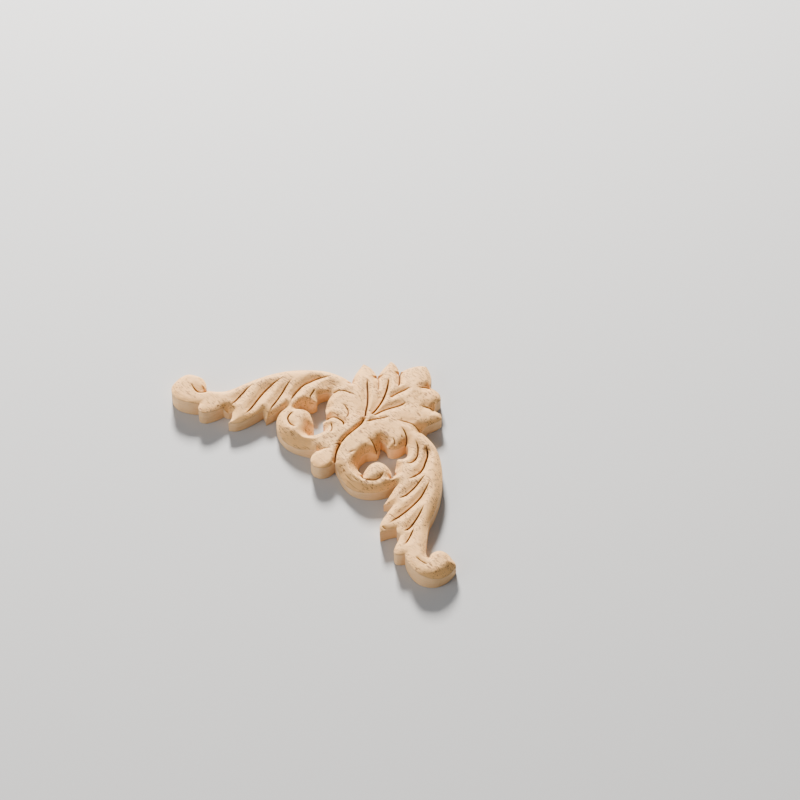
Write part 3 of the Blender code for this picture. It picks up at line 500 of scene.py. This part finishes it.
def right_cuts() -> dict[str, GougeCut]:
    """The cuts of the right half, with x counted outwards."""
    return {
        "vein_a": GougeCut(
            ((48.2, -18.2), (48.1, -16.6), (47.6, -14.6), (46.7, -12.1), (45.8, -9.9), (45.2, -8.2)),
            1.4, 0.36, 1.5, 0.3, 0.4),
        "vein_ab": GougeCut(
            ((43.8, -13.4), (44.2, -11.2), (44.2, -9.2), (43.6, -6.4), (42.9, -3.4), (42.1, -0.8),
             (41.0, 1.6)),
            1.9, 0.42, 1.9, 0.15, 0.5),
        "vein_b": GougeCut(
            ((37.7, -15.6), (37.9, -11.4), (38.2, -7.0), (38.3, -3.4), (38.2, 0.2), (37.9, 3.1),
             (37.2, 6.2), (36.2, 9.2), (34.9, 11.8)),
            2.3, 0.45, 2.0, 0.3, 0.4),
        "vein_c": GougeCut(
            ((32.4, -4.0), (32.9, -2.6), (33.4, 0.4), (33.5, 3.6), (33.3, 7.0), (33.0, 9.8), (32.4, 12.6)),
            1.8, 0.4, 1.9, 0.25, 0.5),
        "vein_d": GougeCut(
            ((28.8, 4.2), (29.7, 6.0), (30.1, 7.6), (30.3, 9.6), (30.2, 11.6), (29.6, 13.6), (28.7, 15.3),
             (27.9, 17.0), (26.7, 18.9), (25.0, 20.3), (23.2, 21.4)),
            2.6, 0.46, 1.8, 0.35, 0.2),
        "vein_e": GougeCut(
            ((23.6, 9.4), (24.6, 10.8), (25.1, 12.2), (25.1, 13.8), (24.6, 15.6), (23.4, 17.3),
             (22.1, 18.6), (20.6, 19.5), (18.8, 20.1)),
            1.8, 0.4, 1.6, 0.3, 0.35),
        "slot": GougeCut(
            ((17.4, 17.1), (16.8, 18.5), (15.6, 19.5), (14.2, 20.3), (12.4, 20.9), (10.6, 21.0)),
            1.8, 0.38, 1.5, 0.02, 0.6),
        "eye": GougeCut(
            ((14.7, -3.3), (15.8, -4.5), (17.2, -5.1), (18.7, -4.8), (20.2, -3.8), (21.2, -2.4),
             (21.5, -0.7), (21.2, 0.8), (20.6, 2.0)),
            1.7, 0.38, 1.5, 0.05, 0.3),
        "eye_notch": GougeCut(
            ((23.7, 2.8), (23.9, 1.8), (24.2, 0.6)),
            1.2, 0.35, 1.0, 0.02, 0.5),
        "curl_1": GougeCut(
            ((12.2, 15.5), (13.1, 15.2), (14.0, 14.8), (14.8, 14.1), (15.2, 13.0)),
            0.7, 0.26, 0.8, 0.4, 0.3),
        "curl_line": GougeCut(
            ((11.8, 7.8), (10.4, 8.4), (8.9, 9.0), (7.4, 9.2), (5.8, 8.8)),
            1.6, 0.4, 1.6, 0.02, 0.5, dark=0.6),
        "curl_2": GougeCut(
            ((5.5, -1.4), (5.9, 0.1), (6.4, 1.3), (7.4, 1.8)),
            0.45, 0.25, 0.8, 0.4, 0.4, dark=0.4),
        "curl_tools": GougeCut(
            ((8.0, 13.7), (9.4, 13.8), (10.8, 14.2), (12.3, 15.0)),
            0.3, 0.25, 0.6, 0.4, 0.4, dark=0.3),
        "ring_top": GougeCut(
            ((18.0, 25.6), (15.8, 25.5), (13.4, 25.1), (11.2, 24.3), (9.0, 23.0), (6.6, 21.6)),
            1.3, 0.34, 2.0, 0.02, 0.5, vee_share=0.4, dark=0.6),
        "vein_4": GougeCut(
            ((5.4, 31.6), (4.1, 28.8), (3.3, 26.9), (2.5, 25.3), (1.6, 23.2), (0.8, 20.8), (0.1, 17.8)),
            2.0, 0.4, 1.9, 0.2, 0.1),
        "vein_5": GougeCut(
            ((5.8, 22.1), (4.2, 20.3), (2.4, 17.8), (1.2, 15.6), (0.4, 14.0)),
            1.1, 0.32, 1.6, 0.35, 0.15, dark=0.7),
        "edge_34": GougeCut(
            ((5.6, 43.4), (4.2, 41.4), (2.4, 39.0)),
            1.3, 0.4, 1.9, 0.02, 0.5, vee_share=0.3, dark=0.6),
        "edge_45": GougeCut(
            ((13.8, 37.1), (11.6, 35.5), (8.6, 33.4)),
            1.4, 0.4, 2.0, 0.02, 0.5, vee_share=0.3, dark=0.6),
        "tip_line": GougeCut(
            ((54.6, -19.1), (56.0, -19.1), (57.6, -19.1), (59.2, -19.0), (61.0, -18.6)),
            0.6, 0.28, 0.9, 0.3, 0.3, dark=0.7),
        "tool_a": GougeCut(
            ((12.8, -7.2), (15.2, -7.5), (17.6, -7.4)),
            0.3, 0.25, 0.6, 0.4, 0.4, dark=0.4),
        "tool_b": GougeCut(
            ((10.4, -8.6), (13.2, -9.2), (16.0, -9.4), (18.6, -9.2), (20.4, -8.6)),
            0.25, 0.25, 0.6, 0.4, 0.4, dark=0.3),
        "tool_c": GougeCut(
            ((9.2, -7.4), (11.6, -8.1), (13.9, -8.5), (16.0, -8.6)),
            0.25, 0.25, 0.6, 0.4, 0.4, dark=0.4),
        "pit": GougeCut(
            ((14.2, 18.3), (14.6, 18.1), (15.1, 17.8)),
            0.7, 0.3, 0.4, 0.4, 0.4),
        "crack_a": GougeCut(
            ((34.6, -10.7), (35.8, -10.7), (37.1, -10.6)),
            0.5, 0.22, 0.4, 0.2, 0.3),
        "crack_b": GougeCut(
            ((36.6, -16.5), (37.6, -16.6), (38.7, -16.4)),
            0.5, 0.22, 0.4, 0.2, 0.3),
    }


@dataclass(frozen=True)
class Carving:
    """The carved face: the crown less all the gouge cuts, in the part's own plan."""

    crown: Crown = Crown()
    step: float = 0.6
    power: float = 4.0
    lowest: float = 1.6
    # Waviness left by the hand: how high, and the length of each wave with the way it runs in degrees
    wave_height: float = 0.011
    waves: tuple[Pair, ...] = ((3.1, 12.0), (4.3, 77.0), (2.6, 131.0), (5.9, 44.0), (3.7, 158.0))

    def lines(self, step: float) -> list[tuple[GougeCut, np.ndarray, float]]:
        """Every cut with its path in the part's plan and the sign of its half."""
        placed = [(cut, cut.line(step, 1.0), 1.0) for cut in axis_cuts().values()]
        for side, own in ((Half.LEFT, left_cuts()), (Half.RIGHT, right_cuts())):
            placed += [(cut, cut.line(step, side.value), side.value) for cut in own.values()]
        return placed

    def waviness(self, points: np.ndarray) -> np.ndarray:
        """The sum of the named waves, each bent by the one before it."""
        total = np.zeros(len(points))
        for number, (length, degrees) in enumerate(self.waves):
            run = points @ (math.cos(math.radians(degrees)), math.sin(math.radians(degrees)))
            total = total + np.sin(2.0 * math.pi * run / length + number + total)
        return total * self.wave_height

    def surface(self, points: np.ndarray, near_edge: np.ndarray) -> tuple[np.ndarray, np.ndarray, np.ndarray]:
        """Height, depth of cut and painted shade at each plan point.

        The cuts join as the fourth root of the sum of their fourth powers, which is smooth and hardly
        more than the deepest of them.

        Args:
            points: plan points, one a row.
            near_edge: the distance of each point from the outline.

        Returns:
            The height above the glue face and the depth cut from the crown, both in millimetres, and
            the painted shade in the vees of the cuts from 0 to 1.
        """
        total = np.zeros(len(points))
        darkest = np.zeros(len(points))
        for cut, line, sign in self.lines(self.step):
            depth, shade = cut.depth_at(points, line, sign)
            total += depth ** self.power
            darkest = np.maximum(darkest, shade)
        depth = total ** (1.0 / self.power)
        height = self.crown.height(points, near_edge) + self.waviness(points) - depth
        return np.maximum(height, self.lowest), depth, darkest


class Wire:
    """A value in a node tree, on which Python's operators add Math nodes."""

    def __init__(self, graph: "Graph", socket: bpy.types.NodeSocket) -> None:
        self.graph = graph
        self.socket = socket

    def _math(self, operation: str, *values: "Wire | float") -> "Wire":
        """One Math node on the given values."""
        return self.graph.node("ShaderNodeMath", {"operation": operation}, dict(enumerate(values)))

    def __add__(self, other: "Wire | float") -> "Wire":
        """self + other."""
        return self._math("ADD", self, other)

    __radd__ = __add__

    def __sub__(self, other: "Wire | float") -> "Wire":
        """self - other."""
        return self._math("SUBTRACT", self, other)

    def __rsub__(self, other: "Wire | float") -> "Wire":
        """other - self."""
        return self._math("SUBTRACT", other, self)

    def __mul__(self, other: "Wire | float") -> "Wire":
        """self * other."""
        return self._math("MULTIPLY", self, other)

    __rmul__ = __mul__

    def between(self, low: float, high: float) -> "Wire":
        """A smooth step: 0 where the value is at low and 1 where it is at high."""
        settings = {"interpolation_type": "SMOOTHSTEP"}
        values = {"Value": self, "From Min": low, "From Max": high}
        return self.graph.node("ShaderNodeMapRange", settings, values)


class Graph:
    """The node tree of one material."""

    def __init__(self, name: str) -> None:
        self.material = bpy.data.materials.new(name)
        self.material.use_nodes = True
        self.tree = self.material.node_tree
        self.shader = self.tree.nodes["Principled BSDF"]

    def node(self, kind: str, settings: dict, inputs: dict, output: int | str = 0) -> Wire:
        """Adds a node.

        Args:
            kind: the node's type.
            settings: its properties, which are set first.
            inputs: values or wires by the socket's name or number.
            output: the name or number of the output that is wanted.

        Returns:
            The output as a Wire.
        """
        made = self.tree.nodes.new(kind)
        for key, value in settings.items():
            setattr(made, key, value)
        for key, value in inputs.items():
            self.feed(made.inputs[key], value)
        return Wire(self, made.outputs[output])

    def feed(self, socket: bpy.types.NodeSocket, value: "Wire | float | tuple") -> None:
        """Links a wire to a socket, or sets the socket's own value."""
        if isinstance(value, Wire):
            self.tree.links.new(value.socket, socket)
        else:
            socket.default_value = value

    def mixed(self, share: Wire | float, first: Wire | tuple, second: Wire | tuple) -> Wire:
        """A colour between two others, by the share of the second."""
        settings = {"data_type": "RGBA", "blend_type": "MIX"}
        return self.node("ShaderNodeMix", settings, {0: share, 6: first, 7: second}, 2)

    def attribute(self, name: str) -> Wire:
        """A value that is stored at the mesh's vertices."""
        settings = {"attribute_type": "GEOMETRY", "attribute_name": name}
        return self.node("ShaderNodeAttribute", settings, {}, "Fac")

    def stretched(self, scale: Triple, shift: Triple = (0.0, 0.0, 0.0)) -> Wire:
        """Object coordinates in millimetres, moved and then scaled along each axis."""
        place = self.node("ShaderNodeTexCoord", {}, {}, "Object")
        values = {0: place, 1: tuple(s / MM for s in scale), 2: shift}
        return self.node("ShaderNodeVectorMath", {"operation": "MULTIPLY_ADD"}, values)

    def noise(self, where: Wire, detail: float = 2.0, roughness: float = 0.5) -> Wire:
        """Smooth noise from 0 to 1, one feature a unit."""
        values = {"Vector": where, "Scale": 1.0, "Detail": detail, "Roughness": roughness}
        return self.node("ShaderNodeTexNoise", {}, values)


@dataclass(frozen=True)
class BareWood:
    """Pale, unfinished hardwood with short dark pores along X, tan and layered on its sides, with painted
    shade in its cuts and a painted highlight along its rims.
    """

    name: str = "bare_wood"
    pale: Colour = (0.95, 0.53, 0.185, 1.0)
    warm: Colour = (0.90, 0.47, 0.15, 1.0)
    cut_side: Colour = (0.90, 0.59, 0.32, 1.0)
    streak: Colour = (0.58, 0.34, 0.165, 1.0)
    # grain and fuzz mottling, and also painted shade deeper in the gouge cuts
    earth_and_shade: Colour = (0.76, 0.42, 0.17, 1.0)
    pore: Colour = (0.26, 0.11, 0.04, 1.0)
    # painted shade: the near-black brown that stands in for the shade in the vee of each cut
    groove_shade: Colour = (0.17, 0.07, 0.026, 1.0)
    # painted highlight along the rims of the carved face
    painted_highlight: Colour = (0.96, 0.66, 0.36, 1.0)
    roughness: float = 0.62
    bump_strength: float = 0.8
    bump_mm: float = 0.28

    def material(self) -> bpy.types.Material:
        """Builds the material from Object coordinates and the mesh's own attributes.

        Returns:
            The material, with colour, roughness and bump from its nodes.
        """
        g = Graph(self.name)
        wall = g.attribute("wall")
        cut = g.attribute("cut")
        groove_shade = g.attribute("groove_shade")
        rim = g.attribute("rim")
        clouds = g.noise(g.stretched((0.05, 0.16, 0.2)), 3.0)
        bands = g.noise(g.stretched((0.035, 0.9, 0.9), (4.0, 0.0, 0.0)), 2.0, 0.6)
        tone = (clouds * 0.6 + bands * 0.5).between(0.38, 0.72)
        colour = g.mixed(tone, self.pale, self.warm)
        grain = g.noise(g.stretched((0.22, 3.2, 3.2), (0.0, 0.0, 5.0)), 3.0, 0.6)
        colour = g.mixed(grain.between(0.46, 0.68) * 0.5, colour, self.earth_and_shade)
        fuzz = g.noise(g.stretched((0.9, 3.4, 3.4)), 3.0, 0.65)
        colour = g.mixed(fuzz.between(0.46, 0.64) * 0.4, colour, self.earth_and_shade)
        pore_field = g.noise(g.stretched((0.6, 2.9, 2.9), (0.0, 7.0, 0.0)), 1.0, 0.4)
        pore_patch = g.noise(g.stretched((0.1, 0.24, 0.24), (9.0, 0.0, 0.0)), 2.0)
        pores = pore_field.between(0.58, 0.63) * pore_patch.between(0.36, 0.54) * (1.0 - wall)
        colour = g.mixed(pores * 0.85, colour, self.pore)
        fibres = g.noise(g.stretched((0.5, 6.0, 1.6)), 3.0, 0.6)
        layers = g.noise(g.stretched((0.3, 0.3, 2.6), (2.0, 0.0, 0.0)), 3.0, 0.6)
        side = g.mixed(layers.between(0.35, 0.75) * 0.45, self.cut_side, self.streak)
        side = g.mixed(fibres.between(0.4, 0.7) * 0.35, side, self.pale)
        colour = g.mixed(wall * 0.85, colour, side)
        # painted shade: darker brown where the gouge has cut deeper
        colour = g.mixed(cut.between(0.4, 2.2) * 0.4, colour, self.earth_and_shade)
        # painted shade in the vee of each cut
        colour = g.mixed(groove_shade.between(0.06, 0.5) * 0.92, colour, self.groove_shade)
        # painted highlight near the outline, along the rim of the carved face
        colour = g.mixed(rim * 0.12, colour, self.painted_highlight)
        g.feed(g.shader.inputs["Base Color"], colour)
        rough = wall * 0.2 + fibres * 0.12 + (self.roughness - 0.06)
        g.feed(g.shader.inputs["Roughness"], rough)
        relief = fuzz * 0.8 + grain * 0.9 + fibres * wall * 1.4 + layers * wall - pores * 1.4
        values = {"Height": relief, "Strength": self.bump_strength, "Distance": self.bump_mm * MM}
        bump = g.node("ShaderNodeBump", {}, values, "Normal")
        g.feed(g.shader.inputs["Normal"], bump)
        g.shader.inputs["Metallic"].default_value = 0.0
        g.shader.inputs["Specular IOR Level"].default_value = 0.3
        return g.material


@dataclass(frozen=True)
class CarvedOnlay:
    """The onlay itself: carved face, upright walls and flat back, as one closed surface."""

    outline: Outline = Outline()
    carving: Carving = Carving()
    finish: BareWood = BareWood()
    outline_step: float = 0.34
    grid_step: float = 0.3
    grid_gap: float = 0.2
    edge_round: float = 0.18
    groove_step: float = 0.3
    groove_rows: tuple[float, ...] = (0.0, -1.0, 1.0, -0.5, 0.5)
    least_gap: float = 0.1
    # Each row of the wall: how far in from the outline, and how far below the rim, as a share of the fall
    wall_rows: tuple[Pair, ...] = (
        (0.07, 0.012), (0.02, 0.035), (0.02, 0.2), (0.02, 0.38), (0.02, 0.56), (0.02, 0.74), (0.02, 0.92),
        (0.08, 1.0),
    )
    wall_roughness: float = 0.05
    # how far in from the rim the painted highlight reaches
    rim_reach: float = 0.35
    seed: int = 7

    def plan_points(self, loops: list[np.ndarray], rims: list[np.ndarray]) -> np.ndarray:
        """A staggered grid in the wood, clear of the outline.

        Rows are the grid step times the root of three quarters apart, and each second row is moved
        half a step, so that the points make even triangles.

        Args:
            loops: the outline's loops.
            rims: the loops that bound the carved face.

        Returns:
            Plan points, the rims' own points first.
        """
        low, high = loops[0].min(axis=0), loops[0].max(axis=0)
        rows = np.arange(low[1], high[1], self.grid_step * math.sqrt(0.75))
        columns = np.arange(low[0], high[0], self.grid_step)
        x, y = np.meshgrid(columns, rows)
        x = x + (np.arange(len(rows)) % 2)[:, None] * self.grid_step / 2
        grid = np.column_stack([x.ravel(), y.ravel()])
        grid = grid[in_wood(grid, loops)]
        clear = self.edge_round + self.grid_gap
        grid = grid[self.edge_distance(grid, loops) > clear]
        placed = []
        for cut, line, _ in self.carving.lines(self.groove_step):
            along = np.gradient(line, axis=0)
            square = np.column_stack([-along[:, 1], along[:, 0]]) / np.linalg.norm(along, axis=1)[:, None]
            rows = np.vstack([line + square * cut.vee * share for share in self.groove_rows])
            rows = rows[in_wood(rows, loops)]
            rows = rows[self.edge_distance(rows, loops) > clear]
            for other, other_line in placed:
                rows = rows[distance_to_path(rows, other_line)[0] > other.vee + self.grid_gap]
            placed.append((cut, line))
            near = np.all((grid > line.min(axis=0) - 1.0) & (grid < line.max(axis=0) + 1.0), axis=1)
            keep = np.ones(len(grid), bool)
            keep[near] = distance_to_path(grid[near], line)[0] > cut.vee + self.grid_gap * 0.7
            grid = np.vstack([grid[keep], self.apart(rows)])
        return np.vstack(rims + [grid])

    def apart(self, points: np.ndarray) -> np.ndarray:
        """The points that are left when those too close to an earlier one are dropped."""
        gap = np.linalg.norm(points[:, None] - points[None], axis=2) < self.least_gap
        kept = np.ones(len(points), bool)
        for i in range(1, len(points)):
            kept[i] = not np.any(gap[i, :i] & kept[:i])
        return points[kept]

    @staticmethod
    def edge_distance(points: np.ndarray, loops: list[np.ndarray]) -> np.ndarray:
        """Distance of each plan point from the outline."""
        closed = [np.vstack([loop, loop[:1]]) for loop in loops]
        return np.min([distance_to_path(points, loop)[0] for loop in closed], axis=0)

    def walls(self, loops: list[np.ndarray], rim_heights: list[np.ndarray]) -> list[np.ndarray]:
        """The rows of each loop's wall, from just under the rim to the glue face.

        A row is the outline moved into the wood by its inset plus a small fixed-seed roughness, at the
        rim's height less its share of the fall.

        Args:
            loops: the outline's loops.
            rim_heights: the height of the carved face round each loop.

        Returns:
            For each loop, the points of its rows, one row after another.
        """
        rng = np.random.default_rng(self.seed)
        made = []
        for loop, height in zip(loops, rim_heights):
            rows = []
            for inset, share in self.wall_rows:
                rough = self.wall_roughness * rng.random(len(loop)) * (0.0 < share < 1.0)
                plan = shrunk(loop, inset + rough)
                rows.append(np.column_stack([plan, height * (1.0 - share)]))
            made.append(np.vstack(rows))
        return made

    def build(self) -> bpy.types.Object:
        """Builds the closed mesh, stores what the finish reads, and dresses it.

        Returns:
            The onlay as one object at the origin.
        """
        loops = self.outline.loops(self.outline_step)
        rims = [shrunk(loop, self.edge_round) for loop in loops]
        points = self.plan_points(loops, rims)
        plan, top = triangulated(points, closed_edges(rims), rims)
        near_edge = self.edge_distance(plan, loops)
        heights, depth, dark = self.carving.surface(plan, near_edge)
        counts = [len(loop) for loop in loops]
        starts = np.concatenate([[0], np.cumsum(counts)])
        rim_heights = [heights[a:b] for a, b in zip(starts[:-1], starts[1:])]
        vertices = [np.column_stack([plan, heights])]
        faces = [top]
        base = len(plan)
        lowest = []
        for start, count, rows in zip(starts, counts, self.walls(loops, rim_heights)):
            ring = np.arange(count)
            following = (ring + 1) % count
            row_starts = np.concatenate([[start], base + count * np.arange(len(self.wall_rows))])
            for upper, lower in zip(row_starts[:-1], row_starts[1:]):
                faces.append(np.column_stack([lower + ring, lower + following, upper + following]))
                faces.append(np.column_stack([lower + ring, upper + following, upper + ring]))
            vertices.append(rows)
            lowest.append(row_starts[-1])
            base += len(rows)
        floor = [np.vstack(vertices)[first:first + count, :2] for first, count in zip(lowest, counts)]
        _, back = triangulated(np.vstack(floor), closed_edges(floor), floor)
        number = np.concatenate([first + np.arange(count) for first, count in zip(lowest, counts)])
        faces.append(number[back][:, ::-1])
        used = made_mesh(NODE + "_carved", np.vstack(vertices) * MM, np.vstack(faces))
        on_face = len(plan)
        total = base
        wall = np.ones(total)
        wall[:on_face] = 0.0
        # depth cut from the crown; the finish paints shade deeper in the cuts from it
        cut = np.zeros(total)
        cut[:on_face] = depth
        # painted highlight mask: strongest at the rim of the carved face, fading inwards
        rim = np.zeros(total)
        rim[:on_face] = np.exp(-(np.maximum(near_edge - self.edge_round, 0.0) / self.rim_reach) ** 2)
        # painted shade in the vee of each cut
        groove_shade = np.zeros(total)
        groove_shade[:on_face] = dark
        for name, values in (("wall", wall), ("cut", cut), ("rim", rim), ("groove_shade", groove_shade)):
            layer = used.data.attributes.new(name, "FLOAT", "POINT")
            layer.data.foreach_set("value", values.astype(np.float32))
        used.data.materials.append(self.finish.material())
        LOG.info("%s: %d vertices, %d triangles", used.name, total, len(used.data.polygons))
        return used


def in_wood(points: np.ndarray, loops: list[np.ndarray]) -> np.ndarray:
    """Which points are in the outer loop and in neither hollow."""
    wood = inside(points, loops[0])
    for hollow in loops[1:]:
        near = np.all((points > hollow.min(axis=0)) & (points < hollow.max(axis=0)), axis=1)
        wood[near] &= ~inside(points[near], hollow)
    return wood


def closed_edges(loops: list[np.ndarray]) -> list[tuple[int, int]]:
    """Vertex pairs along closed loops that are stored one after another."""
    edges = []
    start = 0
    for loop in loops:
        count = len(loop)
        edges += [(start + i, start + (i + 1) % count) for i in range(count)]
        start += count
    return edges


def triangulated(
    points: np.ndarray, edges: list[tuple[int, int]], loops: list[np.ndarray]
) -> tuple[np.ndarray, np.ndarray]:
    """A Delaunay mesh that keeps the given edges, without the triangles outside the wood.

    Args:
        points: plan points, one a row.
        edges: pairs of points that stay joined.
        loops: the loops that bound the wood.

    Returns:
        The mesh's plan points and its triangles, anticlockwise seen from above.
    """
    found = delaunay_2d_cdt([Vector(p) for p in points], edges, [], 0, 1e-5)
    plan = np.array([tuple(v) for v in found[0]])
    triangles = np.array(found[2])
    triangles = triangles[in_wood(plan[triangles].mean(axis=1), loops)]
    a, b, c = (plan[triangles[:, i]] for i in range(3))
    turn = (b - a)[:, 0] * (c - a)[:, 1] - (b - a)[:, 1] * (c - a)[:, 0]
    triangles[turn < 0] = triangles[turn < 0][:, ::-1]
    return plan, triangles


def made_mesh(name: str, vertices: np.ndarray, triangles: np.ndarray) -> bpy.types.Object:
    """An object at the origin from arrays of vertices and triangles, smooth but for its sharp edges."""
    mesh = bpy.data.meshes.new(name)
    mesh.from_pydata(vertices, [], triangles)
    mesh.update()
    mesh.shade_smooth()
    mesh.set_sharp_from_angle(angle=math.radians(50.0))
    used = bpy.data.objects.new(name, mesh)
    bpy.context.scene.collection.objects.link(used)
    return used


@dataclass(frozen=True)
class PhotoCamera:
    """The photograph's viewpoint, solved on the ornament's mirror pairs."""

    elevation: float = 0.8808449185809124
    azimuth: float = -0.7391828951809394
    focal_pixels: float = 3000.0
    depth: float = 1.0991135
    across: float = -0.0223417
    above: float = -0.0204661
    sensor_mm: float = 36.0

    def build(self) -> bpy.types.Object:
        """Adds the camera and makes it the scene's.

        Returns:
            The camera, looking along its own -Z at the part's origin less the two offsets.
        """
        turn, tilt = self.azimuth, self.elevation
        right = Vector((math.cos(turn), -math.sin(turn), 0.0))
        ahead = Vector((math.sin(turn), math.cos(turn), 0.0))
        up_axis = Vector((0.0, 0.0, 1.0))
        look = ahead * math.cos(tilt) - up_axis * math.sin(tilt)
        up = ahead * math.sin(tilt) + up_axis * math.cos(tilt)
        place = -(right * self.across + up * self.above + look * self.depth)
        data = bpy.data.cameras.new("photo_camera")
        data.sensor_width = self.sensor_mm
        data.lens = self.sensor_mm * self.focal_pixels / PHOTO_SIZE
        data.clip_start = 0.01
        used = bpy.data.objects.new("photo_camera", data)
        turned_to = Matrix((right, up, -look)).transposed().to_4x4()
        used.matrix_world = Matrix.Translation(place) @ turned_to
        bpy.context.scene.collection.objects.link(used)
        bpy.context.scene.camera = used
        return used


@dataclass(frozen=True)
class SoftLamp:
    """One square area lamp that faces the onlay."""

    name: str
    place: Triple
    size: float
    watts: float
    colour: Triple = (1.0, 1.0, 1.0)

    def build(self) -> bpy.types.Object:
        """Adds the lamp, turned towards the origin."""
        data = bpy.data.lights.new(self.name, "AREA")
        data.shape = "SQUARE"
        data.size = self.size
        data.energy = self.watts
        data.color = self.colour
        used = bpy.data.objects.new(self.name, data)
        used.location = self.place
        used.rotation_euler = Vector(self.place).to_track_quat("Z", "Y").to_euler()
        bpy.context.scene.collection.objects.link(used)
        return used


@dataclass(frozen=True)
class Studio:
    """A pale plain floor, an even pale surround and soft lamps."""

    lamps: tuple[SoftLamp, ...] = (
        SoftLamp("key_lamp", (-0.7, 0.6, 0.5), 0.2, 54.0, (1.0, 0.97, 0.93)),
        SoftLamp("fill_lamp", (-0.35, -0.95, 0.6), 0.7, 8.0, (1.0, 0.98, 0.96)),
    )
    floor_half: float = 4.0
    floor_drop: float = 0.0002
    floor_colour: Colour = (0.5, 0.5, 0.5, 1.0)
    surround: Colour = (0.8, 0.82, 0.85, 1.0)
    surround_strength: float = 0.3

    def build(self) -> None:
        """Adds floor, surround and lamps."""
        world = bpy.data.worlds.new("surround")
        world.use_nodes = True
        background = world.node_tree.nodes["Background"]
        background.inputs["Color"].default_value = self.surround
        background.inputs["Strength"].default_value = self.surround_strength
        bpy.context.scene.world = world
        r, z = self.floor_half, -self.floor_drop
        corners = np.array([(-r, -r, z), (r, -r, z), (r, r, z), (-r, r, z)])
        floor = made_mesh("floor", corners, np.array([(0, 1, 2), (0, 2, 3)]))
        paint = Graph("floor_paint")
        paint.feed(paint.shader.inputs["Base Color"], self.floor_colour)
        paint.feed(paint.shader.inputs["Roughness"], 0.8)
        floor.data.materials.append(paint.material)
        for lamp in self.lamps:
            lamp.build()


def main() -> None:
    """Builds the camera, the studio and the onlay, hangs the onlay on the root body and hides the CAD part.
    """
    logging.basicConfig(level=logging.INFO, format="%(message)s")
    PhotoCamera().build()
    Studio().build()
    onlay = CarvedOnlay().build()
    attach(onlay, "root")
    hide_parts(NODE)


if __name__ == "__main__":
    main()
